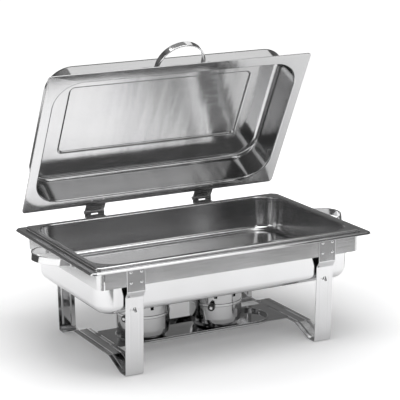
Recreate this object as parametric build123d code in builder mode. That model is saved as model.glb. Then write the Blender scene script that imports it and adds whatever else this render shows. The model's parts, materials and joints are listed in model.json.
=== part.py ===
from build123d import *
import os

# Rectangular chafing dish: strap-leg stand, water pan, food pan, hinged lid, two fuel burners.
# Millimetres. The floor is Z = 0, the origin is under the middle of the pan, X runs along the
# long side, +Y points to the hinge side and the lid stands open over the pan.

# stand
SHEET = 2.0                                  # strap and band stock
BAND_X, BAND_Y = 521.2, 321.2                # outside of the band
BAND_LOW, BAND_HIGH = 166.0, 201.3
BAND_T, BAND_R = 1.5, 10.0
LEG_X = 191.0                                # middle of each leg from the centre
LEG_W = 34.5
PLATE_Y = BAND_Y / 2 + SHEET / 2             # mid-thickness of the riveted leg tops
KNEE_Y, FOOT_Y = 153.6, 147.6
RIB_W, RIB_H, RIB_X = 3.0, 0.8, 8.7
CROSS_TOP = 19.5
RIVET_X, RIVET_LOW, RIVET_HIGH = 9.9, 173.0, 191.5
RIVET_R, RIVET_HOLE, RIVET_HEAD = 2.0, 2.1, 2.9
STRAP_BEND = 4.0
TAB_Z, TAB_HALF = 120.0, 4.5                 # triangular stacking tab
BAND_JOINT_X, BAND_JOINT_W = -249.5, 2.2
HANDLE_LOW, HANDLE_TALL, HANDLE_OUT = 182.5, 13.5, 314.5
HANDLE_T, HANDLE_HALF, HANDLE_END, HANDLE_RISE = 2.5, 47.0, 68.0, 5.5   # rise in degrees
HANDLE_RIVET_Y = 58.0

# pans
WALL = 0.8
LIP_X, LIP_Y, LIP_LOW, FLANGE_TOP = 561.0, 352.2, 198.6, 202.5
LIP_R, LIP_T, FLANGE_T = 12.0, 1.5, 1.2
WELL_X, WELL_Y, WELL_BOTTOM, WELL_R = 513.0, 305.0, 113.5, 38.0
FOOD_X, FOOD_Y, FOOD_TOP, FOOD_BOTTOM = 530.0, 325.0, 207.0, 141.6
FOOD_OPEN_X, FOOD_OPEN_Y, FOOD_R = 506.0, 301.0, 42.0
FOOD_RIM_R, FOOD_RIM_T, FOOD_HEM_T = 9.0, 1.0, 1.2
WELL_DRAFT, WELL_BEND, FOOD_DRAFT, FOOD_BEND = 3, 18, 6, 12   # degrees and millimetres

# lid, open at rest: its own plane has Y from the hinge edge outwards and Z out of the dome
LID_W, LID_D = 532.0, 316.0
DOME_X, DOME_Y, DOME_H, DOME_R = 494.0, 277.0, 61.0, 52.0
PANEL_X, PANEL_Y, PANEL_H, PANEL_R = 376.0, 155.0, 64.5, 12.0
LID_R, HEM_H, HEM_W, DOME_BEND = 7.0, 1.4, 2.5, 12.0
LID_EDGE_Y, LID_EDGE_Z, LID_LEAN = 169.6, 228.6, 28.6
GRIP_HALF, GRIP_H, GRIP_W, GRIP_T = 47.0, 18.0, 13.0, 3.0
GRIP_END, GRIP_SCREW_X, GRIP_RISE, SCREW_HOLE = 72.0, 60.0, 51.0, 2.6

# hinges
PIN_Y, PIN_Z, KNUCKLE_R, PIN_R = 183.3, 211.8, 3.5, 1.6
HINGE_X, HINGE_W = 115.0, 40.0
FINGER = 12.6                                # length of each outer knuckle of the pan leaf
LEAF_T = 1.4
LEAF_HOLE, LEAF_HOLES_APART = 1.6, 24.0
LEAF_HOLE_Y, LID_LEAF_HOLE_Y = 169.0, 12.0   # from the middle of the pan, from the lid edge

# burners
TRAY_TOP = CROSS_TOP + 1.0
TRAY_X, TRAY_Y = 346.0, 102.0
BASIN_X, BASIN_Y, BASIN_FLOOR = 304.0, 90.0, 16.5
BURNER_X = {"left": -103.0, "right": 47.0}
CUP_LOW, CUP_HIGH, CUP_R, NECK_R, NECK_HIGH = BASIN_FLOOR + 0.8, 62.0, 49.0, 46.0, 72.0
COVER_LOW, COVER_HIGH = 67.8, 100.0
KNOB_ANGLE = {"left": -148.0, "right": -125.0}

os.makedirs("parts", exist_ok=True)
lid_plane = Plane(
    origin=(0, LID_EDGE_Y, LID_EDGE_Z),
    x_dir=(-1, 0, 0),
    z_dir=Vector(0, 1, 0).rotate(Axis.X, LID_LEAN),
)


def save(block, label):
    block.part.label = label
    export_step(block.part, f"parts/{label}.step")


# ---------------------------------------------------------------- stand
with BuildPart() as frame_band:
    with BuildSketch(Plane.XY.offset(BAND_LOW)):
        RectangleRounded(BAND_X, BAND_Y, BAND_R)
        RectangleRounded(BAND_X - 2 * BAND_T, BAND_Y - 2 * BAND_T, BAND_R - BAND_T,
                         mode=Mode.SUBTRACT)
    extrude(amount=BAND_HIGH - BAND_LOW)
    # joint in the strip near the front left corner
    with Locations((BAND_JOINT_X, -BAND_Y / 2, (BAND_LOW + BAND_HIGH) / 2)):
        Box(BAND_JOINT_W, 4 * BAND_T, 60, mode=Mode.SUBTRACT)
    # rivet holes: legs on the long sides, handles on the short ends
    with BuildSketch(Plane.XZ.offset(-BAND_Y)):
        for side in (-1, 1):
            for z in (RIVET_LOW, RIVET_HIGH):
                with Locations((side * LEG_X - RIVET_X, z), (side * LEG_X + RIVET_X, z)):
                    Circle(RIVET_HOLE)
    extrude(amount=2 * BAND_Y, mode=Mode.SUBTRACT)
    with BuildSketch(Plane.YZ.offset(-BAND_X)):
        with Locations((-HANDLE_RIVET_Y, HANDLE_LOW + HANDLE_TALL / 2),
                       (HANDLE_RIVET_Y, HANDLE_LOW + HANDLE_TALL / 2)):
            Circle(RIVET_HOLE)
    extrude(amount=2 * BAND_X, mode=Mode.SUBTRACT)
save(frame_band, "frame_band")


def strap_line():
    """Centre line of one leg strap: riveted top, jog, leg, foot, raised crossbar and back up."""
    half = [
        (-PLATE_Y, 195.5),
        (-PLATE_Y, 155.5),
        (-KNEE_Y, 144.5),
        (-FOOT_Y, SHEET / 2),
        (-126.0, SHEET / 2),
        (-77.0, CROSS_TOP - SHEET / 2),
    ]
    return half + [(-y, z) for y, z in reversed(half)]


def make_leg(centre):
    with BuildPart() as leg:
        with BuildSketch(Plane.YZ.offset(centre - LEG_W / 2)):
            with BuildLine():
                strap = FilletPolyline(*strap_line(), radius=STRAP_BEND)
            trace(strap, line_width=SHEET)
        extrude(amount=LEG_W)
        # two pressed ribs run down each leg and through the crossbar
        for offset_x in (-RIB_X, RIB_X):
            with BuildSketch(Plane.YZ.offset(centre + offset_x - RIB_W / 2)):
                with BuildLine():
                    rib = FilletPolyline(*strap_line(), radius=STRAP_BEND)
                trace(rib, line_width=SHEET + 2 * RIB_H)
                # ribs stop short of the riveted tops and of the flat feet
                with Locations((-PLATE_Y, 172), (PLATE_Y, 172)):
                    Rectangle(30, 92, mode=Mode.SUBTRACT)
                with Locations((-137, 2), (137, 2)):
                    Rectangle(30, 14, mode=Mode.SUBTRACT)
            extrude(amount=RIB_W)
        with BuildSketch(Plane.XZ.offset(-BAND_Y)):
            for z in (RIVET_LOW, RIVET_HIGH):
                with Locations((centre - RIVET_X, z), (centre + RIVET_X, z)):
                    Circle(RIVET_HOLE)
            # triangular hole left by the lanced stacking tab
            with Locations((centre, TAB_Z)):
                Polygon((-TAB_HALF, -4), (TAB_HALF, -4), (0, 4), align=None)
        extrude(amount=2 * BAND_Y, mode=Mode.SUBTRACT)
        # tab itself, bent outwards from the top corner of the hole
        for side in (-1, 1):
            with BuildSketch(Plane.YZ.offset(centre - 2)):
                with BuildLine():
                    Polyline(
                        (side * 153.6, 125.5), (side * 152.6, 122.5),
                        (side * 157.6, 117.5), (side * 158.6, 118.4), close=True,
                    )
                make_face()
            extrude(amount=4)
    return leg


leg_left = make_leg(-LEG_X)
save(leg_left, "leg_left")
leg_right = make_leg(LEG_X)
save(leg_right, "leg_right")


def rivet(grip):
    """Domed rivet along +Z: head above Z = 0, shank down through the grip, flat tail below."""
    with BuildPart() as one:
        with BuildSketch(Plane.XY):
            Circle(RIVET_R)
        extrude(amount=-grip)
        with BuildSketch(Plane.XY.offset(-grip)):
            Circle(RIVET_HEAD)
        extrude(amount=-1)
        with BuildSketch(Plane.XY):
            Circle(RIVET_HEAD)
        extrude(amount=1.8)
        fillet(one.faces().sort_by(Axis.Z)[-1].edges(), 1.7)
    return one.part


leg_rivet = rivet(SHEET + BAND_T)
with BuildPart() as leg_rivets:
    for side in (-1, 1):
        for leg in (-LEG_X, LEG_X):
            for dx in (-RIVET_X, RIVET_X):
                for z in (RIVET_LOW, RIVET_HIGH):
                    face_y = side * (BAND_Y / 2 + SHEET)
                    add(Plane((leg + dx, face_y, z), z_dir=(0, side, 0)) * leg_rivet)
save(leg_rivets, "leg_rivets")


def make_side_handle(side):
    inner = BAND_X / 2 + HANDLE_T / 2
    outward = Vector(side, 0, 0).rotate(Axis.Y, -side * HANDLE_RISE)
    rising = Plane((side * inner, 0, HANDLE_LOW), x_dir=outward, z_dir=outward.cross(Vector(0, side, 0)))
    with BuildPart() as handle:
        # bow, rising a little towards its middle
        with BuildSketch(rising):
            with BuildLine():
                ThreePointArc((0, -HANDLE_HALF), (HANDLE_OUT - inner, 0), (0, HANDLE_HALF))
            trace(line_width=HANDLE_T)
        extrude(amount=HANDLE_TALL)
        # flat ends against the band
        with BuildSketch(Plane.XY.offset(HANDLE_LOW)):
            for end in (-1, 1):
                low = HANDLE_HALF - HANDLE_T / 2
                with Locations((side * inner, end * (low + HANDLE_END) / 2)):
                    Rectangle(HANDLE_T, HANDLE_END - low)
        extrude(amount=HANDLE_TALL)
        with BuildSketch(Plane.YZ.offset(-BAND_X)):
            with Locations((-HANDLE_RIVET_Y, HANDLE_LOW + HANDLE_TALL / 2),
                           (HANDLE_RIVET_Y, HANDLE_LOW + HANDLE_TALL / 2)):
                Circle(RIVET_HOLE)
        extrude(amount=2 * BAND_X, mode=Mode.SUBTRACT)
        # the tilted bow must not reach into the band
        with Locations((0, 0, HANDLE_LOW)):
            Box(BAND_X, BAND_Y, 3 * HANDLE_TALL, mode=Mode.SUBTRACT)
    return handle


side_handle_left = make_side_handle(-1)
save(side_handle_left, "side_handle_left")
side_handle_right = make_side_handle(1)
save(side_handle_right, "side_handle_right")

handle_rivet = rivet(HANDLE_T + BAND_T)
with BuildPart() as side_handle_rivets:
    for side in (-1, 1):
        for y in (-HANDLE_RIVET_Y, HANDLE_RIVET_Y):
            spot = (side * (BAND_X / 2 + HANDLE_T), y, HANDLE_LOW + HANDLE_TALL / 2)
            add(Plane(spot, z_dir=(side, 0, 0)) * handle_rivet)
save(side_handle_rivets, "side_handle_rivets")

# ---------------------------------------------------------------- pans
def drawn_block(plane, size_x, size_y, corner, height, taper, edge):
    """Solid of a deep-drawn shape: rounded rectangle on the plane, drafted, far edge rounded."""
    with BuildPart() as block:
        with BuildSketch(plane):
            RectangleRounded(size_x, size_y, corner)
        extrude(amount=height, taper=taper)
        cap = block.faces().sort_by(Axis(plane.origin, plane.z_dir))[-1]
        fillet(cap.edges(), edge)
    return block.part


def drawn_shell(plane, size_x, size_y, corner, height, taper, edge):
    """The same shape hollowed to sheet thickness and open at the plane."""
    add(drawn_block(plane, size_x, size_y, corner, height, taper, edge))
    add(
        drawn_block(plane, size_x - 2 * WALL, size_y - 2 * WALL, corner - WALL,
                    height - WALL, taper, edge - WALL),
        mode=Mode.SUBTRACT,
    )


with BuildPart() as water_pan:
    pan_plane = Plane((0, 0, FLANGE_TOP - FLANGE_T), x_dir=(1, 0, 0), z_dir=(0, 0, -1))
    drawn_shell(pan_plane, WELL_X, WELL_Y, WELL_R, FLANGE_TOP - FLANGE_T - WELL_BOTTOM,
                WELL_DRAFT, WELL_BEND)
    with BuildSketch(Plane.XY.offset(FLANGE_TOP - FLANGE_T)):
        RectangleRounded(LIP_X, LIP_Y, LIP_R)
        RectangleRounded(WELL_X - 2 * WALL, WELL_Y - 2 * WALL, WELL_R - WALL, mode=Mode.SUBTRACT)
    extrude(amount=FLANGE_T)
    # rolled edge that hangs from the flange
    with BuildSketch(Plane.XY.offset(LIP_LOW)):
        RectangleRounded(LIP_X, LIP_Y, LIP_R)
        RectangleRounded(LIP_X - 2 * LIP_T, LIP_Y - 2 * LIP_T, LIP_R - LIP_T, mode=Mode.SUBTRACT)
    extrude(amount=FLANGE_TOP - FLANGE_T - LIP_LOW)
    with BuildSketch(Plane.XY.offset(FLANGE_TOP)):
        with Locations((-HINGE_X, LEAF_HOLE_Y), (HINGE_X, LEAF_HOLE_Y)):
            with GridLocations(LEAF_HOLES_APART, 1, 2, 1):
                Circle(LEAF_HOLE)
    extrude(amount=-3, mode=Mode.SUBTRACT)
save(water_pan, "water_pan")

with BuildPart() as food_pan:
    food_plane = Plane((0, 0, FOOD_TOP - FOOD_RIM_T), x_dir=(1, 0, 0), z_dir=(0, 0, -1))
    drawn_shell(food_plane, FOOD_OPEN_X, FOOD_OPEN_Y, FOOD_R, FOOD_TOP - FOOD_RIM_T - FOOD_BOTTOM,
                FOOD_DRAFT, FOOD_BEND)
    with BuildSketch(Plane.XY.offset(FOOD_TOP - FOOD_RIM_T)):
        RectangleRounded(FOOD_X, FOOD_Y, FOOD_RIM_R)
        RectangleRounded(FOOD_OPEN_X - 2, FOOD_OPEN_Y - 2, FOOD_R - 1, mode=Mode.SUBTRACT)
    extrude(amount=FOOD_RIM_T)
    with BuildSketch(Plane.XY.offset(FLANGE_TOP)):
        RectangleRounded(FOOD_X, FOOD_Y, FOOD_RIM_R)
        RectangleRounded(FOOD_X - 2 * FOOD_HEM_T, FOOD_Y - 2 * FOOD_HEM_T,
                         FOOD_RIM_R - FOOD_HEM_T, mode=Mode.SUBTRACT)
    extrude(amount=FOOD_TOP - FOOD_RIM_T - FLANGE_TOP)
save(food_pan, "food_pan")

# ---------------------------------------------------------------- lid
def lid_dome(thin, edge):
    """Solid of the dome with its raised roof panel, all sizes less the given sheet thickness."""
    middle = lid_plane.from_local_coords(Vector(0, LID_D / 2, 0))
    on_lid = Plane(middle, x_dir=lid_plane.x_dir, z_dir=lid_plane.z_dir)
    dome = drawn_block(on_lid, DOME_X - 2 * thin, DOME_Y - 2 * thin, DOME_R - thin,
                       DOME_H - thin, 2.8, edge)
    with BuildPart() as block:
        add(dome)
        with BuildSketch(on_lid.offset(DOME_H - thin)):
            with Locations((0, 3)):
                RectangleRounded(PANEL_X - 2 * thin, PANEL_Y - 2 * thin, PANEL_R - thin)
        extrude(amount=PANEL_H - DOME_H, taper=35)
    return block.part


with BuildPart() as lid_shell:
    add(lid_dome(0, DOME_BEND))
    add(lid_dome(WALL, DOME_BEND - 1), mode=Mode.SUBTRACT)
    with BuildSketch(lid_plane):
        with Locations((0, LID_D / 2)):
            RectangleRounded(LID_W, LID_D, LID_R)
            RectangleRounded(DOME_X - 2 * WALL, DOME_Y - 2 * WALL, DOME_R - WALL,
                             mode=Mode.SUBTRACT)
    extrude(amount=WALL)
    # hemmed edge
    with BuildSketch(lid_plane.offset(WALL)):
        with Locations((0, LID_D / 2)):
            RectangleRounded(LID_W, LID_D, LID_R)
            RectangleRounded(LID_W - 2 * HEM_W, LID_D - 2 * HEM_W, LID_R - HEM_W,
                             mode=Mode.SUBTRACT)
    extrude(amount=HEM_H)
    # holes for hinge rivets and grip screws
    with BuildSketch(lid_plane):
        with Locations((-HINGE_X, LID_LEAF_HOLE_Y), (HINGE_X, LID_LEAF_HOLE_Y)):
            with GridLocations(LEAF_HOLES_APART, 1, 2, 1):
                Circle(LEAF_HOLE)
    extrude(amount=2.4, mode=Mode.SUBTRACT)
    grip_plane = Plane(lid_plane.from_local_coords(Vector(0, LID_D, GRIP_H)),
                       x_dir=(-1, 0, 0), z_dir=lid_plane.y_dir)
    with BuildSketch(grip_plane):
        with Locations((-GRIP_SCREW_X, 0), (GRIP_SCREW_X, 0)):
            Circle(SCREW_HOLE)
    extrude(amount=-40, mode=Mode.SUBTRACT)
save(lid_shell, "lid_shell")

wall_y = LID_D / 2 + DOME_Y / 2 - 0.4 + GRIP_T / 2 + 0.3
with BuildPart() as lid_handle:
    with BuildSketch(lid_plane.offset(GRIP_H - GRIP_W / 2)):
        with BuildLine():
            Line((-GRIP_END, wall_y), (-GRIP_HALF, wall_y))
            ThreePointArc((-GRIP_HALF, wall_y), (0, wall_y + GRIP_RISE), (GRIP_HALF, wall_y))
            Line((GRIP_HALF, wall_y), (GRIP_END, wall_y))
        trace(line_width=GRIP_T)
    extrude(amount=GRIP_W)
    with BuildSketch(grip_plane):
        with Locations((-GRIP_SCREW_X, 0), (GRIP_SCREW_X, 0)):
            Circle(SCREW_HOLE)
    extrude(amount=-40, mode=Mode.SUBTRACT)
save(lid_handle, "lid_handle")

with BuildPart() as lid_handle_screws:
    screw_y = wall_y + GRIP_T / 2
    for x in (-GRIP_SCREW_X, GRIP_SCREW_X):
        head_at = lid_plane.from_local_coords(Vector(x, screw_y, GRIP_H))
        head_plane = Plane(head_at, x_dir=(-1, 0, 0), z_dir=lid_plane.y_dir)
        with BuildSketch(head_plane):
            Circle(4.4)
        extrude(amount=2.2, taper=18)
        with BuildSketch(head_plane):
            Circle(2.3)
        extrude(amount=-9)
save(lid_handle_screws, "lid_handle_screws")

with BuildPart() as lid_handle_nuts:
    for x in (-GRIP_SCREW_X, GRIP_SCREW_X):
        nut_at = lid_plane.from_local_coords(Vector(x, screw_y - 5.2, GRIP_H))
        nut_plane = Plane(nut_at, x_dir=(-1, 0, 0), z_dir=lid_plane.y_dir)
        with BuildSketch(nut_plane):
            RegularPolygon(4.6, 6)
            Circle(2.5, mode=Mode.SUBTRACT)
        extrude(amount=-3.4)
save(lid_handle_nuts, "lid_handle_nuts")

# ---------------------------------------------------------------- hinges
def make_pan_leaf(centre):
    plate_y = PIN_Y - KNUCKLE_R + LEAF_T / 2
    with BuildPart() as leaf:
        # foot on the pan flange and the upright behind it
        with BuildSketch(Plane.YZ.offset(centre - HINGE_W / 2)):
            with Locations(((164.5 + plate_y + LEAF_T / 2) / 2, FLANGE_TOP + LEAF_T / 2)):
                Rectangle(plate_y + LEAF_T / 2 - 164.5, LEAF_T)
            with Locations((plate_y, (FLANGE_TOP + 206.4) / 2)):
                Rectangle(LEAF_T, 206.4 - FLANGE_TOP)
        extrude(amount=HINGE_W)
        for start in (centre - HINGE_W / 2, centre + HINGE_W / 2 - FINGER):
            with BuildSketch(Plane.YZ.offset(start)):
                with Locations((plate_y, (206 + PIN_Z) / 2)):
                    Rectangle(LEAF_T, PIN_Z - 206)
                with Locations((PIN_Y, PIN_Z)):
                    Circle(KNUCKLE_R)
                    Circle(PIN_R + 0.05, mode=Mode.SUBTRACT)
            extrude(amount=FINGER)
        with BuildSketch(Plane.XY.offset(FLANGE_TOP)):
            with Locations((centre, LEAF_HOLE_Y)):
                with GridLocations(LEAF_HOLES_APART, 1, 2, 1):
                    Circle(LEAF_HOLE)
        extrude(amount=3, mode=Mode.SUBTRACT)
    return leaf


def make_lid_leaf(centre):
    pin = lid_plane.to_local_coords(Vector(0, PIN_Y, PIN_Z))
    leaf_low = WALL + HEM_H
    plate_low, plate_high = pin.Y + 5, 18    # the plate ends clear of the outer knuckles
    middle = HINGE_W - 2 * FINGER - 0.8
    with BuildPart() as leaf:
        with BuildSketch(lid_plane.offset(leaf_low)):
            with Locations((centre, (plate_low + plate_high) / 2)):
                Rectangle(HINGE_W, plate_high - plate_low)
            with Locations((centre, pin.Y + 4)):
                Rectangle(middle, 8)
        extrude(amount=LEAF_T)
        with BuildSketch(Plane.YZ.offset(-centre - middle / 2)):
            with Locations((PIN_Y, PIN_Z)):
                Circle(KNUCKLE_R)
        extrude(amount=middle)
        with BuildSketch(Plane.YZ.offset(-centre - middle / 2)):
            with Locations((PIN_Y, PIN_Z)):
                Circle(PIN_R + 0.05)
        extrude(amount=middle, mode=Mode.SUBTRACT)
        with BuildSketch(lid_plane.offset(leaf_low)):
            with Locations((centre, LID_LEAF_HOLE_Y)):
                with GridLocations(LEAF_HOLES_APART, 1, 2, 1):
                    Circle(LEAF_HOLE)
        extrude(amount=LEAF_T, mode=Mode.SUBTRACT)
    return leaf


def small_rivet(grip):
    """Flat-topped rivet along +Z for thin sheet: head above Z = 0, tail below the grip."""
    with BuildPart() as one:
        with BuildSketch(Plane.XY):
            Circle(1.5)
        extrude(amount=-grip)
        with BuildSketch(Plane.XY):
            Circle(2.7)
        extrude(amount=1.1, taper=25)
        with BuildSketch(Plane.XY.offset(-grip)):
            Circle(2.4)
        extrude(amount=-0.7)
    return one.part


for side, word in ((-1, "left"), (1, "right")):
    pan_leaf = make_pan_leaf(side * HINGE_X)
    save(pan_leaf, f"hinge_pan_leaf_{word}")
    lid_leaf = make_lid_leaf(-side * HINGE_X)
    save(lid_leaf, f"hinge_lid_leaf_{word}")
    with BuildPart() as hinge_pin:
        with BuildSketch(Plane.YZ.offset(side * HINGE_X - HINGE_W / 2 - 0.8)):
            with Locations((PIN_Y, PIN_Z)):
                Circle(PIN_R)
        extrude(amount=HINGE_W + 1.6)
    save(hinge_pin, f"hinge_pin_{word}")

pan_leaf_rivet = small_rivet(FLANGE_T + LEAF_T)
lid_leaf_rivet = small_rivet(WALL + HEM_H + LEAF_T)
with BuildPart() as hinge_pan_rivets:
    for side in (-1, 1):
        for dx in (-LEAF_HOLES_APART / 2, LEAF_HOLES_APART / 2):
            add(Location((side * HINGE_X + dx, LEAF_HOLE_Y, FLANGE_TOP + LEAF_T)) * pan_leaf_rivet)
save(hinge_pan_rivets, "hinge_pan_rivets")
with BuildPart() as hinge_lid_rivets:
    for side in (-1, 1):
        for dx in (-LEAF_HOLES_APART / 2, LEAF_HOLES_APART / 2):
            leaf_top = WALL + HEM_H + LEAF_T
            top = lid_plane.from_local_coords(Vector(side * HINGE_X + dx, LID_LEAF_HOLE_Y, leaf_top))
            add(Plane(top, x_dir=(-1, 0, 0), z_dir=lid_plane.z_dir) * lid_leaf_rivet)
save(hinge_lid_rivets, "hinge_lid_rivets")

# ---------------------------------------------------------------- burners
with BuildPart() as burner_tray:
    with BuildSketch(Plane.XY.offset(CROSS_TOP)):
        RectangleRounded(TRAY_X, TRAY_Y, 3)
        with GridLocations(TRAY_X + 2, TRAY_Y - 30, 2, 2):
            Rectangle(12, 14)
        SlotOverall(BASIN_X, BASIN_Y, mode=Mode.SUBTRACT)
    extrude(amount=TRAY_TOP - CROSS_TOP)
    # raised bead, side wall and floor of the basin
    with BuildSketch(Plane.XY.offset(BASIN_FLOOR - 1)):
        SlotOverall(BASIN_X + 5, BASIN_Y + 5)
        SlotOverall(BASIN_X, BASIN_Y, mode=Mode.SUBTRACT)
    extrude(amount=TRAY_TOP + 1.8 - BASIN_FLOOR + 1)
    with BuildSketch(Plane.XY.offset(BASIN_FLOOR - 1)):
        SlotOverall(BASIN_X + 1, BASIN_Y + 1)
    extrude(amount=1)
    fillet(burner_tray.faces().sort_by(Axis.Z)[-1].edges(), 0.9)
save(burner_tray, "burner_tray")


def turned(points):
    """Solid of a closed outline in the XZ half plane, turned about Z."""
    with BuildPart() as body:
        with BuildSketch(Plane.XZ):
            with BuildLine():
                Polyline(*points, close=True)
            make_face()
        revolve(axis=Axis.Z)
    return body.part


for word, centre in BURNER_X.items():
    with BuildPart() as cup:
        add(turned([
            (0, CUP_LOW), (36, CUP_LOW), (40.5, CUP_LOW + 1.6), (44, CUP_LOW + 5.2),
            (47.5, CUP_LOW + 11.5), (CUP_R, CUP_LOW + 20),
            (CUP_R, CUP_HIGH), (NECK_R, CUP_HIGH), (NECK_R, NECK_HIGH),
            (NECK_R - WALL, NECK_HIGH), (NECK_R - WALL, CUP_HIGH - 1), (CUP_R - WALL, CUP_HIGH - 1),
            (CUP_R - WALL, CUP_LOW + 20.2), (46.6, CUP_LOW + 12), (43.2, CUP_LOW + 5.9),
            (40, CUP_LOW + 2.5), (35.8, CUP_LOW + 1), (0, CUP_LOW + 1),
        ]))
    cup.part = Location((centre, 0, 0)) * cup.part
    save(cup, f"burner_cup_{word}")

    with BuildPart() as cover:
        add(turned([
            (CUP_R, COVER_LOW), (CUP_R, COVER_HIGH - 3), (CUP_R - 3, COVER_HIGH),
            (32, COVER_HIGH), (32, COVER_HIGH - 4), (33, COVER_HIGH - 4),
            (33, COVER_HIGH - 1), (CUP_R - 3.4, COVER_HIGH - 1), (CUP_R - 1, COVER_HIGH - 3.4),
            (CUP_R - 1, NECK_HIGH + 1), (NECK_R - 2, NECK_HIGH + 1), (NECK_R - 2, NECK_HIGH),
            (CUP_R - 1, NECK_HIGH), (CUP_R - 1, COVER_LOW),
        ]))
        # row of vent holes around the skirt
        with BuildSketch(Plane.XY.offset(78)):
            with PolarLocations(CUP_R, 8, start_angle=KNOB_ANGLE[word] + 8):
                Rectangle(8, 6)
        extrude(amount=6, mode=Mode.SUBTRACT)
    cover.part = Location((centre, 0, 0)) * cover.part
    save(cover, f"burner_cover_{word}")

    turn = Location((centre, 0, 65), (0, 0, KNOB_ANGLE[word]))
    with BuildPart() as control_ring:
        add(turned([
            (NECK_R + 0.3, -2.6), (CUP_R + 1, -2.6), (CUP_R + 1, 2.5), (NECK_R + 0.3, 2.5),
        ]))
        fillet(control_ring.edges().filter_by(GeomType.CIRCLE).group_by(SortBy.RADIUS)[-1], 0.8)
        with BuildSketch(Plane.YZ.offset(NECK_R + 2)):
            Circle(1.8)
        extrude(amount=14)
    control_ring.part = turn * control_ring.part
    save(control_ring, f"control_ring_{word}")

    with BuildPart() as knob:
        with BuildSketch(Plane.YZ.offset(CUP_R + 2.5)):
            Circle(6.6)
            Circle(1.85, mode=Mode.SUBTRACT)
        extrude(amount=12)
        fillet(knob.edges().filter_by(GeomType.CIRCLE).group_by(SortBy.RADIUS)[-1], 1.8)
    knob.part = turn * knob.part
    save(knob, f"ring_knob_{word}")

    with BuildPart() as knob_screw:
        with BuildSketch(Plane.YZ.offset(CUP_R + 14.5)):
            Circle(3.2)
        extrude(amount=1.4, taper=20)
    knob_screw.part = turn * knob_screw.part
    save(knob_screw, f"knob_screw_{word}")
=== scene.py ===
import bmesh
import bpy
import json
import math
from mathutils import Matrix, Vector


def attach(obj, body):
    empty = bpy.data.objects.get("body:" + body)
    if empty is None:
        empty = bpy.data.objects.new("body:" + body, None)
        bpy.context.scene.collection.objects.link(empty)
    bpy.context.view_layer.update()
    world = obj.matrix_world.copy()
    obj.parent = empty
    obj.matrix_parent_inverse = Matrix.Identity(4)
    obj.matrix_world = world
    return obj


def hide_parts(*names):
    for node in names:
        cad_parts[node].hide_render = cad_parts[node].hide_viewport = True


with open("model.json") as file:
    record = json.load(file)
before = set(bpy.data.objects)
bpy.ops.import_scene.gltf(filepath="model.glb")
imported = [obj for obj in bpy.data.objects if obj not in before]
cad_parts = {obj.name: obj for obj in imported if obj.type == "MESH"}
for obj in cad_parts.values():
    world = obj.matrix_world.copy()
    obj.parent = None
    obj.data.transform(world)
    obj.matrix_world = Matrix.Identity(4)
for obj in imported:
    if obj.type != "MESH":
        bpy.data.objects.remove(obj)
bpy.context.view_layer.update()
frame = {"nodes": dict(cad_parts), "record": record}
nodes = frame["nodes"]

# ---------------------------------------------------------------- materials


class Shader:
    """A material with short calls for adding and joining nodes."""

    def __init__(self, name):
        self.material = bpy.data.materials.new(name)
        self.material.use_nodes = True
        self.tree = self.material.node_tree
        self.surface = self.tree.nodes["Principled BSDF"]
        self.place = self.add("ShaderNodeTexCoord").outputs["Object"]

    def add(self, kind, **settings):
        node = self.tree.nodes.new(kind)
        for key, value in settings.items():
            setattr(node, key, value)
        return node

    def join(self, source, target):
        self.tree.links.new(source, target)

    def set(self, values):
        """Uniform values on the surface's own sockets, by socket name."""
        for socket, value in values.items():
            self.surface.inputs[socket].default_value = value

    def noise(self, scale, detail, stretch=(1, 1, 1)):
        """Noise in the piece's own space, stretched along the axes with small numbers."""
        mapping = self.add("ShaderNodeMapping")
        mapping.inputs["Scale"].default_value = stretch
        self.join(self.place, mapping.inputs["Vector"])
        texture = self.add("ShaderNodeTexNoise")
        texture.inputs["Scale"].default_value = scale
        texture.inputs["Detail"].default_value = detail
        self.join(mapping.outputs["Vector"], texture.inputs["Vector"])
        return texture.outputs["Fac"]

    def remap(self, value, from_low, from_high, low, high):
        node = self.add("ShaderNodeMapRange")
        for socket, limit in (("From Min", from_low), ("From Max", from_high),
                              ("To Min", low), ("To Max", high)):
            node.inputs[socket].default_value = limit
        self.join(value, node.inputs["Value"])
        return node.outputs["Result"]

    def spread(self, noise, low, high):
        """Noise, which mostly stays between 0.3 and 0.7, spread over low to high."""
        return self.remap(noise, 0.3, 0.7, low, high)

    def total(self, first, second):
        node = self.add("ShaderNodeMath", operation="ADD")
        self.join(first, node.inputs[0])
        self.join(second, node.inputs[1])
        return node.outputs["Value"]

    def tint(self, value, dark, light):
        node = self.add("ShaderNodeMix", data_type="RGBA")
        node.inputs["A"].default_value = (*dark, 1)
        node.inputs["B"].default_value = (*light, 1)
        self.join(value, node.inputs["Factor"])
        return node.outputs["Result"]

    def bump(self, height, depth, normal=None):
        node = self.add("ShaderNodeBump")
        node.inputs["Strength"].default_value = 1
        node.inputs["Distance"].default_value = depth
        self.join(height, node.inputs["Height"])
        if normal is not None:
            self.join(normal, node.inputs["Normal"])
        return node.outputs["Normal"]


LENGTHWISE, UPRIGHT, TURNED = (1, 20, 20), (20, 20, 1), (20, 20, 3)      # ways the grain runs
STREAKS = (1, 0.12, 0.12)
POLISH_SPREAD, GRAIN_DEPTH = 0.03, 0.0000012


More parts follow.
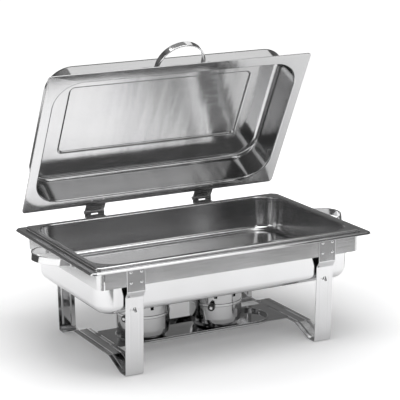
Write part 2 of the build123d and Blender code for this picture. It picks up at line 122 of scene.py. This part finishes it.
def steel(name, grey, rough, wave, grain=LENGTHWISE, streak=0.0):
    """Stainless steel: fine grain, uneven polish, faint smudges and slightly wavy sheet.

    wave and streak are the depths of the sheet's broad waves and of long streaks, in metres.
    """
    s = Shader(name)
    s.set({"Metallic": 1})
    fine = s.noise(scale=30, detail=3, stretch=grain)
    smudge = s.noise(scale=9, detail=5)
    ripple = s.noise(scale=5, detail=1)
    colour = s.tint(s.spread(smudge, 0, 1), [grey * 0.94] * 3, [grey, grey, grey * 1.01])
    polish = s.total(s.spread(fine, -POLISH_SPREAD, POLISH_SPREAD),
                     s.spread(smudge, rough - POLISH_SPREAD, rough + POLISH_SPREAD))
    normal = s.bump(ripple, wave)
    if streak:
        normal = s.bump(s.noise(scale=26, detail=2, stretch=STREAKS), streak, normal)
    s.join(colour, s.surface.inputs["Base Color"])
    s.join(polish, s.surface.inputs["Roughness"])
    s.join(s.bump(fine, GRAIN_DEPTH, normal), s.surface.inputs["Normal"])
    return s.material


def plastic(name, grey, rough):
    """Moulded heat-proof plastic with a faint pebbled skin."""
    s = Shader(name)
    pebble = s.noise(scale=900, detail=2)
    worn = s.noise(scale=60, detail=4)
    s.join(s.tint(s.spread(worn, 0, 1), [grey] * 3, [grey * 1.6] * 3), s.surface.inputs["Base Color"])
    s.join(s.spread(worn, rough - 0.06, rough + 0.08), s.surface.inputs["Roughness"])
    s.join(s.bump(pebble, 0.00004), s.surface.inputs["Normal"])
    return s.material


def matt(name, grey, glow):
    """A matt surface that also gives off white light of strength glow."""
    s = Shader(name)
    s.set({"Base Color": (*grey, 1), "Roughness": 1, "Specular IOR Level": 0,
           "Emission Color": (1, 1, 1, 1), "Emission Strength": glow})
    return s


STEELS = {
    "lid_steel": dict(grey=0.51, rough=0.15, wave=0.0010, streak=0.0005),
    "band_steel": dict(grey=0.62, rough=0.20, wave=0.0002),
    "leg_steel": dict(grey=0.66, rough=0.09, wave=0.0003, grain=UPRIGHT),
    "pan_steel": dict(grey=0.68, rough=0.11, wave=0.0004),
    # food pan steel is greyer than the water pan's: painted shade that darkens the pan's hollow
    "food_pan_steel": dict(grey=0.58, rough=0.18, wave=0.0006),
    "grip_steel": dict(grey=0.68, rough=0.08, wave=0.0002),
    "hinge_steel": dict(grey=0.30, rough=0.28, wave=0.0001),
    "pin_steel": dict(grey=0.55, rough=0.25, wave=0.0001),
    # rivet steel is lighter than the leg steel: a painted highlight that makes the rivet heads stand out
    "rivet_steel": dict(grey=0.78, rough=0.10, wave=0.0001),
    # tray steel is darker than the water pan's: painted shade on the tray under the dish
    "tray_steel": dict(grey=0.55, rough=0.06, wave=0.0006),
    # burner steel is darker: painted shade and painted dark reflections on the burners under the pan
    "burner_steel": dict(grey=0.46, rough=0.10, wave=0.0003, grain=TURNED),
    "ring_steel": dict(grey=0.55, rough=0.18, wave=0.0001),
    "screw_steel": dict(grey=0.60, rough=0.25, wave=0.0001),
}
MATERIALS = {name: steel(name, **look) for name, look in STEELS.items()}
MATERIALS["knob_plastic"] = plastic("knob_plastic", grey=0.012, rough=0.32)

slot_of = {entry["node"]: entry["material_slot"] for entry in frame["record"]["subparts"]}
for node, piece in nodes.items():
    for material_slot in piece.material_slots:
        material_slot.material = MATERIALS[slot_of[node]]

# ---------------------------------------------------------------- piece helpers
# The pieces are sized in millimetres and made in metres.
METRE = 1000
ALONG_X, UP = Vector((1, 0, 0)), Vector((0, 0, 1))


def make_piece(name, vertices, faces, material):
    mesh = bpy.data.meshes.new(name)
    mesh.from_pydata(vertices, [], faces)
    mesh.materials.append(material)
    mesh.polygons.foreach_set("use_smooth", [True] * len(faces))
    piece = bpy.data.objects.new(name, mesh)
    bpy.context.scene.collection.objects.link(piece)
    return piece


def finish_piece(piece, body, node):
    """Faces turned outwards, large faces shaded flat, and the piece set on its body for its CAD node."""
    mesh = bmesh.new()
    mesh.from_mesh(piece.data)
    bmesh.ops.recalc_face_normals(mesh, faces=mesh.faces)
    mesh.to_mesh(piece.data)
    mesh.free()
    weighted = piece.modifiers.new("flats", "WEIGHTED_NORMAL")
    weighted.weight = 50
    weighted.keep_sharp = True
    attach(piece, body)
    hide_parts(node)


# ---------------------------------------------------------------- drawn sheet pieces
SHEET = 0.8
CORNER_STEPS, SIDE_STEPS = 12, 6


def rings(outline, *steps):
    """Rings (half x, half y, radius, shift, z) set in from an outline, for steps of (inset, height).

    An outline is a rounded rectangle: half length, half width, corner radius, shift along Y.
    """
    half_x, half_y, radius, shift = outline
    return [(half_x - inset, half_y - inset, radius - inset, shift, z) for inset, z in steps]


def bend(outline, inset, z, size, start, stop, steps):
    """Rings round a bend, its middle at an inset and a height; 0 degrees is outwards, 90 is up."""
    angles = [math.radians(start + (stop - start) * step / steps) for step in range(steps + 1)]
    return rings(outline, *[(inset - size * math.cos(angle), z + size * math.sin(angle))
                            for angle in angles])


def underside(run):
    """The other face of the sheet under a run of rings that goes inwards from the rim."""
    other = []
    for i, (half_x, half_y, radius, shift, z) in enumerate(run):
        before, after = run[max(i - 1, 0)], run[min(i + 1, len(run) - 1)]
        inwards, rise = after[0] - before[0], after[-1] - before[-1]
        length = math.hypot(inwards, rise)
        out = -rise / length * SHEET
        other.append((half_x + out, half_y + out, radius + out, shift, z + inwards / length * SHEET))
    return other


def ring_points(half_x, half_y, radius, shift):
    """Points round a ring, the same number for every size."""
    corners = []
    for quarter, (sx, sy) in enumerate(((1, 1), (-1, 1), (-1, -1), (1, -1))):
        angles = [math.pi / 2 * (quarter + step / CORNER_STEPS) for step in range(CORNER_STEPS + 1)]
        corners.append([(sx * (half_x - radius) + radius * math.cos(angle),
                         sy * (half_y - radius) + radius * math.sin(angle) + shift)
                        for angle in angles])
    points = []
    for corner, following in zip(corners, corners[1:] + corners[:1]):
        (x, y), (next_x, next_y) = corner[-1], following[0]
        points += corner
        points += [(x + (next_x - x) * step / SIDE_STEPS, y + (next_y - y) * step / SIDE_STEPS)
                   for step in range(1, SIDE_STEPS)]
    return points


def drawn(name, run, edge, place, slot, body, node):
    """A deep-drawn piece: the rings of its upper face, from the rim inwards, and those of its edge."""
    vertices = []
    ring_list = underside(run)[::-1] + edge + run
    for *ring, z in ring_list:
        vertices += [place @ Vector((x, y, z)) / METRE for x, y in ring_points(*ring)]
    count = len(vertices) // len(ring_list)
    faces = [tuple(reversed(range(count)))]
    for start in range(0, len(vertices) - count, count):
        for i in range(count):
            here, beside = start + i, start + (i + 1) % count
            faces.append((here, beside, beside + count, here + count))
    faces.append(tuple(range(len(vertices) - count, len(vertices))))
    finish_piece(make_piece(name, vertices, faces, MATERIALS[slot]), body, node)


# water pan: flat flange with a skirt that flares down and out, over a deep well
PAN_RIM, PAN_WELL = (280.5, 176.1, 12.2, 0), (255.6, 151.6, 37.1, 0)
PAN_TOP, PAN_FLOOR, PAN_DRAFT = 202.5, 114.1, 3
pan_edge = rings(PAN_RIM, (1.1, 198.6), (0, 198.6))
pan_run = rings(PAN_RIM, (0.2, 199.2), (1.3, 200.9))
pan_run += bend(PAN_RIM, 3.9, PAN_TOP - 3.2, 3.2, 38, 90, 6)
pan_run += bend(PAN_WELL, -2.0, PAN_TOP - 2.0, 2.0, 90, 180 - PAN_DRAFT, 5)
pan_run += bend(PAN_WELL, 21.5, PAN_FLOOR + 17.2, 17.2, -PAN_DRAFT, -90, 8)
drawn("water_pan_sheet", pan_run, pan_edge, Matrix(), "pan_steel", "water_pan", "water_pan")

# food pan: flat rim with a turned-down hem, drafted walls and a soft bend to the bottom
FOOD_RIM, FOOD_WELL = (265.0, 162.5, 9.0, 0), (252.5, 150.0, 41.5, 0)
FOOD_TOP, FOOD_FLOOR, FOOD_DRAFT = 207.0, 142.4, 6
food_edge = rings(FOOD_RIM, (1.0, 202.7), (0.5, 202.5), (0, 202.9))
food_run = bend(FOOD_RIM, 3.2, FOOD_TOP - 3.2, 3.2, 0, 90, 8)
food_run += bend(FOOD_WELL, -3.1, FOOD_TOP - 3.1, 3.1, 90, 180 - FOOD_DRAFT, 6)
food_run += bend(FOOD_WELL, 16.3, FOOD_FLOOR + 11.2, 11.2, -FOOD_DRAFT, -90, 8)
drawn("food_pan_sheet", food_run, food_edge, Matrix(), "food_pan_steel", "food_pan", "food_pan")

# lid, in its own plane: Y from the hinge edge outwards, Z out of the dome
LID_LEAN, LID_EDGE = math.radians(28.6), Vector((0, 169.6, 228.6))
LID_RIM, LID_DOME, LID_PANEL = (266.0, 158.0, 7.0, 0), (246.7, 138.2, 51.7, 0), (189.0, 78.5, 13.0, 3)
LID_ROOF, LID_DRAFT = 61.0, 3
PANEL_STEP = ((0, 0), (1.0, 0.3), (3.0, 2.9), (4.2, 3.4), (5.4, 3.5))
lid_axes = Matrix((
    (-1, 0, 0),
    (0, -math.sin(LID_LEAN), math.cos(LID_LEAN)),
    (0, math.cos(LID_LEAN), math.sin(LID_LEAN)),
))
lid_place = Matrix.Translation(LID_EDGE) @ lid_axes.to_4x4()
lid_middle = lid_place @ Matrix.Translation((0, LID_RIM[1], 0))
lid_edge = rings(LID_RIM, (0.6, 0), (0, 0.6), (0, 1.6), (0.6, 2.2), (2.0, 2.2), (2.5, SHEET))
lid_run = bend(LID_DOME, -2.2, SHEET + 2.2, 2.2, 270, 180 + LID_DRAFT, 5)
lid_run += bend(LID_DOME, 14.5, LID_ROOF - 12.0, 12.0, LID_DRAFT, 90, 8)
lid_run += rings(LID_PANEL, *[(inset, LID_ROOF + rise) for inset, rise in PANEL_STEP])
drawn("lid_sheet", lid_run, lid_edge, lid_middle, "lid_steel", "lid", "lid_shell")

# ---------------------------------------------------------------- bent strap pieces
BEND_STEPS, EDGE_STEPS = 6, 4
EDGE_ROUND = 0.45                            # of the strap's thickness
RIB_STEPS, RIB_HALF_WIDTH = 3, 2.1


def left_of(direction):
    return Vector((-direction.y, direction.x))


def filleted(corners, radius):
    """Points and directions along a plane polyline with its corners rounded."""
    corners = [Vector(corner) for corner in corners]
    line = [(corners[0], (corners[1] - corners[0]).normalized())]
    for before, corner, after in zip(corners, corners[1:], corners[2:]):
        inward, outward = (corner - before).normalized(), (after - corner).normalized()
        angle = inward.angle(outward)
        if angle < 0.001:
            line.append((corner, inward))
            continue
        side = 1 if left_of(inward).dot(outward) > 0 else -1
        start = corner - inward * radius * math.tan(angle / 2)
        centre = start + left_of(inward) * side * radius
        for step in range(BEND_STEPS + 1):
            heading = Matrix.Rotation(side * angle * step / BEND_STEPS, 2) @ inward
            line.append((centre - left_of(heading) * side * radius, heading))
    line.append((corners[-1], (corners[-1] - corners[-2]).normalized()))
    return line


def curve(centre, radius, start, stop, steps):
    """Points and directions along a plane arc, angles in degrees."""
    line = []
    side = 1 if stop > start else -1
    for step in range(steps + 1):
        angle = math.radians(start + (stop - start) * step / steps)
        out = Vector((math.cos(angle), math.sin(angle)))
        line.append((Vector(centre) + out * radius, left_of(out) * side))
    return line


def strap_section(width, thick, ribs=(), rib=0.0):
    """Outline of a strap with rounded edges and pressed ribs, as (across, out) points."""
    radius = thick * EDGE_ROUND
    crest = []
    for middle in ribs:
        for step in range(-RIB_STEPS, RIB_STEPS + 1):
            part = step / RIB_STEPS
            crest.append((middle + part * RIB_HALF_WIDTH, rib * math.cos(part * math.pi / 2) ** 2))
    outline = []
    for turn, (a, h) in enumerate(((-1, 1), (1, 1), (1, -1), (-1, -1))):
        for step in range(EDGE_STEPS + 1):
            angle = math.radians(180 - 90 * (turn + step / EDGE_STEPS))
            outline.append((a * (width / 2 - radius) + radius * math.cos(angle),
                            h * (thick / 2 - radius) + radius * math.sin(angle)))
        if turn == 0:
            outline += [(x, thick / 2 + rise) for x, rise in crest]
        if turn == 2:
            outline += [(x, -thick / 2 - rise) for x, rise in reversed(crest)]
    return outline


def swept(stations, outlines):
    """Vertices and faces of outlines carried along stations of (centre, out, across)."""
    vertices = []
    for (centre, out, across), outline in zip(stations, outlines):
        vertices += [(centre + across * a + out * h) / METRE for a, h in outline]
    count = len(outlines[0])
    faces = [tuple(range(count)), tuple(reversed(range(len(vertices) - count, len(vertices))))]
    for start in range(0, len(vertices) - count, count):
        for i in range(count):
            here, beside = start + i, start + (i + 1) % count
            faces.append((here, here + count, beside + count, beside))
    return vertices, faces


# legs: riveted top, jog, leg, foot and raised crossbar in one strap, with two pressed ribs
LEG_X, LEG_W, STRAP, LEG_BEND = 191.0, 34.5, 2.0, 4
HALF_LEG = [(-161.6, 195.5), (-161.6, 194.6), (-161.6, 155.5), (-153.6, 144.5), (-152.88, 127.3),
            (-152.67, 122.3), (-148.10, 13.0), (-147.93, 9.0), (-147.6, 1), (-126, 1),
            (-121.0, 2.79), (-115.0, 4.93), (-77, 18.5)]
RIB_X, RIB_H = 8.7, 0.8
CROSSBAR_RIB_END, LEG_FROM, LEG_RIB_LOW, LEG_RIB_HIGH = 117, 140, 12, 123
TAB_HALF, TAB = 2, [(153.6, 125.5), (152.6, 122.5), (157.6, 117.5), (158.6, 118.4)]
BLOCK = ((0, 1, 2, 3), (4, 5, 6, 7), (0, 1, 5, 4), (1, 2, 6, 5), (2, 3, 7, 6), (3, 0, 4, 7))
HOLE, PUNCH_REACH = [(-4.5, 116), (4.5, 116), (0, 124)], 400
leg_line = filleted(HALF_LEG + [(-y, z) for y, z in reversed(HALF_LEG)], LEG_BEND)


def rib_height(y, z):
    """The ribs run along the crossbar and up the legs, and fade out at the feet."""
    on_crossbar = abs(y) < CROSSBAR_RIB_END
    on_leg = abs(y) > LEG_FROM and LEG_RIB_LOW < z < LEG_RIB_HIGH
    return RIB_H if on_crossbar or on_leg else 0.0


leg_sections = [strap_section(LEG_W, STRAP, (-RIB_X, RIB_X), rib_height(*point))
                for point, heading in leg_line]
for word, leg_x in (("left", -LEG_X), ("right", LEG_X)):
    stations = [(Vector((leg_x, *point)), Vector((0, *left_of(heading))), ALONG_X)
                for point, heading in leg_line]
    vertices, faces = swept(stations, leg_sections)
    for way in (-1, 1):
        faces += [[len(vertices) + i for i in face] for face in BLOCK]
        for x in (leg_x - TAB_HALF, leg_x + TAB_HALF):
            vertices += [Vector((x, way * y, z)) / METRE for y, z in TAB]
    leg = make_piece(f"leg_strap_{word}", vertices, faces, MATERIALS["leg_steel"])
    # the triangular hole that each tab was pressed from
    ends = [(Vector((leg_x, y, 0)), UP, ALONG_X) for y in (-PUNCH_REACH, PUNCH_REACH)]
    punch = make_piece("punch", *swept(ends, [HOLE] * 2), MATERIALS["leg_steel"])
    punched = leg.modifiers.new("punched", "BOOLEAN")
    punched.operation = "DIFFERENCE"
    punched.object = punch
    bpy.context.view_layer.update()
    ready = leg.evaluated_get(bpy.context.evaluated_depsgraph_get())
    leg.data = bpy.data.meshes.new_from_object(ready)
    leg.modifiers.clear()
    bpy.data.objects.remove(punch)
    finish_piece(leg, "stand", f"leg_{word}")

# side handles: a bow of strap that rises a little, with flat ends on the band
HANDLE_X, HANDLE_LOW, HANDLE_TALL, HANDLE_T = 261.85, 182.5, 13.5, 2.5
HANDLE_END, HANDLE_BEND_Y, HANDLE_BEND = 68, 49.6, 2.6
BOW_R, BOW_AWAY, BOW_HALF, BOW_RISE = 47.3, 5.35, 93, math.radians(5.5)
LEAN_AFTER = 10                              # from the band, where the strap has its full lean
along_band = Vector((0, 1))
bow = [(Vector((0, -HANDLE_END)), along_band)]
bow += curve((HANDLE_BEND, -HANDLE_BEND_Y), HANDLE_BEND, 180, 90, 5)[:-1]
bow += curve((BOW_AWAY, 0), BOW_R, -BOW_HALF, BOW_HALF, 32)
bow += curve((HANDLE_BEND, HANDLE_BEND_Y), HANDLE_BEND, 270, 180, 5)[1:]
bow += [(Vector((0, HANDLE_END)), along_band)]
for word, way in (("left", -1), ("right", 1)):
    stations = []
    for (away, y), heading in bow:
        lean = BOW_RISE * min(max(away / LEAN_AFTER, 0), 1)
        foot = Vector((way * (HANDLE_X + away * math.cos(BOW_RISE)), y,
                       HANDLE_LOW + max(away, 0) * math.sin(BOW_RISE)))
        across = Vector((-way * math.sin(lean), 0, math.cos(lean)))
        out = Vector((way * heading.y, -heading.x, 0))
        out = (out - across * out.dot(across)).normalized()
        stations.append((foot + across * HANDLE_TALL / 2, out, across))
    sections = [strap_section(HANDLE_TALL, HANDLE_T)] * len(stations)
    handle = make_piece(f"bow_handle_{word}", *swept(stations, sections), MATERIALS["grip_steel"])
    finish_piece(handle, "stand", f"side_handle_{word}")

# lid handle: an arch of strap standing up from the front wall of the lid
GRIP_WALL, GRIP_OUT, GRIP_W, GRIP_T = 297.9, 18.0, 13.0, 3.0
GRIP_END, GRIP_BEND_X, GRIP_BEND = 72, 50.2, 3
ARCH_R, ARCH_UP = 47.16, 3.84
along_wall = Vector((1, 0))
arch = [(Vector((-GRIP_END, GRIP_WALL)), along_wall)]
arch += curve((-GRIP_BEND_X, GRIP_WALL + GRIP_BEND), GRIP_BEND, 270, 360, 5)
arch += curve((0, GRIP_WALL + ARCH_UP), ARCH_R, 180, 0, 40)
arch += curve((GRIP_BEND_X, GRIP_WALL + GRIP_BEND), GRIP_BEND, 180, 270, 5)
arch += [(Vector((GRIP_END, GRIP_WALL)), along_wall)]
stations = [(lid_place @ Vector((*point, GRIP_OUT)), lid_axes @ Vector((*left_of(heading), 0)),
             lid_axes @ UP) for point, heading in arch]
sections = [strap_section(GRIP_W, GRIP_T)] * len(stations)
grip = make_piece("lid_grip", *swept(stations, sections), MATERIALS["grip_steel"])
finish_piece(grip, "lid", "lid_handle")

# ---------------------------------------------------------------- floor, light and camera
# Everything from here on is in metres.
AZIMUTH, ELEVATION, ROLL = math.radians(-27.463), math.radians(13.805), math.radians(-0.583)
AIM, DISTANCE, LENS = Vector((0.11543, 0.18922, 0.20445)), 3.244, 148.57
FLOOR_HALF, CARD_HEIGHT = 30, 0.004
BACKDROP = 1.1
ROOM_GREYS = ((0.0, 0.12), (0.25, 0.18), (0.45, 0.12), (0.6, 0.10), (0.9, 0.35))


def rectangle(low, high, z):
    return [(low[0], low[1], z), (high[0], low[1], z), (high[0], high[1], z), (low[0], high[1], z)]


def on_floor(forward, sideways, height=CARD_HEIGHT):
    """A point by its distance towards the camera and to the camera's right."""
    return (math.sin(AZIMUTH) * forward + math.cos(AZIMUTH) * sideways,
            -math.cos(AZIMUTH) * forward + math.sin(AZIMUTH) * sideways, height)


# the floor glows with painted light all round, and glows less near the dish: a painted shadow where its
# shadow lies
paint = matt("floor_painted_glow", (0.86, 0.86, 0.865), glow=0)
away = paint.add("ShaderNodeVectorMath", operation="LENGTH")
paint.join(paint.place, away.inputs[0])
paint.join(paint.remap(away.outputs["Value"], 0.26, 0.80, 0.16, 0.88),
           paint.surface.inputs["Emission Strength"])
floor_corners = rectangle((-FLOOR_HALF, -FLOOR_HALF), (FLOOR_HALF, FLOOR_HALF), 0)
floor = make_piece("floor", floor_corners, [(0, 1, 2, 3)], paint.material)


def flag(name, corners, radiance):
    """A matt card seen only in reflections, as a studio flag is placed to shape them."""
    card = make_piece(name, corners, [(0, 1, 2, 3)], matt(name, (0, 0, 0), radiance).material)
    card.visible_camera = False
    card.visible_diffuse = False
    card.visible_shadow = False


def floor_flag(name, low, high, radiance):
    flag(name, rectangle(low, high, CARD_HEIGHT), radiance)


def softbox(name, centre, aim, size, radiance, turn=None):
    """A rectangular area light at centre facing aim, or facing down and turned about Z."""
    light = bpy.data.lights.new(name, "AREA")
    light.shape = "RECTANGLE"
    light.size, light.size_y = size
    light.energy = radiance * math.pi * size[0] * size[1]
    lamp = bpy.data.objects.new(name, light)
    bpy.context.scene.collection.objects.link(lamp)
    lamp.location = centre
    lamp.rotation_mode = "QUATERNION"
    lamp.rotation_quaternion = (Vector(aim) - Vector(centre)).to_track_quat("-Z", "Y")
    if turn is not None:
        lamp.rotation_quaternion = Matrix.Rotation(turn, 3, "Z").to_quaternion()
    lamp.visible_camera = False


floor_flag("front_flag", low=(-0.50, -3), high=(2.20, -0.58), radiance=0.42)
floor_flag("left_flag", low=(-2.50, 0.42), high=(-0.50, 2.50), radiance=0.10)
floor_flag("side_flag", low=(-0.60, -0.66), high=(-0.27, -0.44), radiance=0.35)
floor_flag("right_flag", low=(0.50, 0.10), high=(2.50, 2.50), radiance=0.15)
flag("rear_card", [on_floor(-1.3, -1.3), on_floor(-1.3, 0.12), on_floor(-1.3, 0.12, 0.42),
                   on_floor(-1.3, -1.3, 0.42)], radiance=0.75)

softbox("top_light", centre=on_floor(0.38, 0.15, 1.6), aim=on_floor(0.38, 0.15, 0),
        size=(1.8, 1.06), radiance=3.0, turn=AZIMUTH)
softbox("rear_light", centre=(0.6, 0.8, 1.6), aim=(0.6, 0.8, 0), size=(1.4, 0.66), radiance=1.0)
softbox("front_light", centre=(0.9, -2.0, 1.5), aim=(0, 0, 0.25), size=(0.9, 0.9), radiance=1.2)
softbox("left_light", centre=(-1.9, -0.3, 0.9), aim=(0, 0, 0.2), size=(1.0, 1.2), radiance=1.4)

# the camera sees a white backdrop, and all else sees a room whose grey goes by height
world = bpy.data.worlds.new("studio")
bpy.context.scene.world = world
world.use_nodes = True
sky = world.node_tree
sky.nodes.clear()
output = sky.nodes.new("ShaderNodeOutputWorld")
choose = sky.nodes.new("ShaderNodeMixShader")
path = sky.nodes.new("ShaderNodeLightPath")
room = sky.nodes.new("ShaderNodeBackground")
backdrop = sky.nodes.new("ShaderNodeBackground")
backdrop.inputs["Color"].default_value = (1, 1, 1, 1)
backdrop.inputs["Strength"].default_value = BACKDROP
direction = sky.nodes.new("ShaderNodeTexCoord")
split = sky.nodes.new("ShaderNodeSeparateXYZ")
ramp = sky.nodes.new("ShaderNodeValToRGB")
stops = ramp.color_ramp.elements
for index, (height, grey) in enumerate(ROOM_GREYS):
    stop = stops[index] if index < len(stops) else stops.new(height)
    stop.position = height
    stop.color = (grey, grey, grey, 1)
sky.links.new(direction.outputs["Generated"], split.inputs["Vector"])
sky.links.new(split.outputs["Z"], ramp.inputs["Fac"])
sky.links.new(ramp.outputs["Color"], room.inputs["Color"])
sky.links.new(path.outputs["Is Camera Ray"], choose.inputs["Fac"])
sky.links.new(room.outputs["Background"], choose.inputs[1])
sky.links.new(backdrop.outputs["Background"], choose.inputs[2])
sky.links.new(choose.outputs["Shader"], output.inputs["Surface"])
bpy.context.scene.view_settings.view_transform = "Standard"

back = Vector((math.sin(AZIMUTH) * math.cos(ELEVATION), -math.cos(AZIMUTH) * math.cos(ELEVATION),
               math.sin(ELEVATION)))
facing = (-back).to_track_quat("-Z", "Y").to_matrix() @ Matrix.Rotation(ROLL, 3, "Z")
camera = bpy.data.objects.new("camera", bpy.data.cameras.new("camera"))
bpy.context.scene.collection.objects.link(camera)
camera.data.sensor_width = 36
camera.data.lens = LENS
camera.data.clip_end = 100
camera.location = AIM + back * DISTANCE
camera.rotation_mode = "QUATERNION"
camera.rotation_quaternion = facing.to_quaternion()
bpy.context.scene.camera = camera
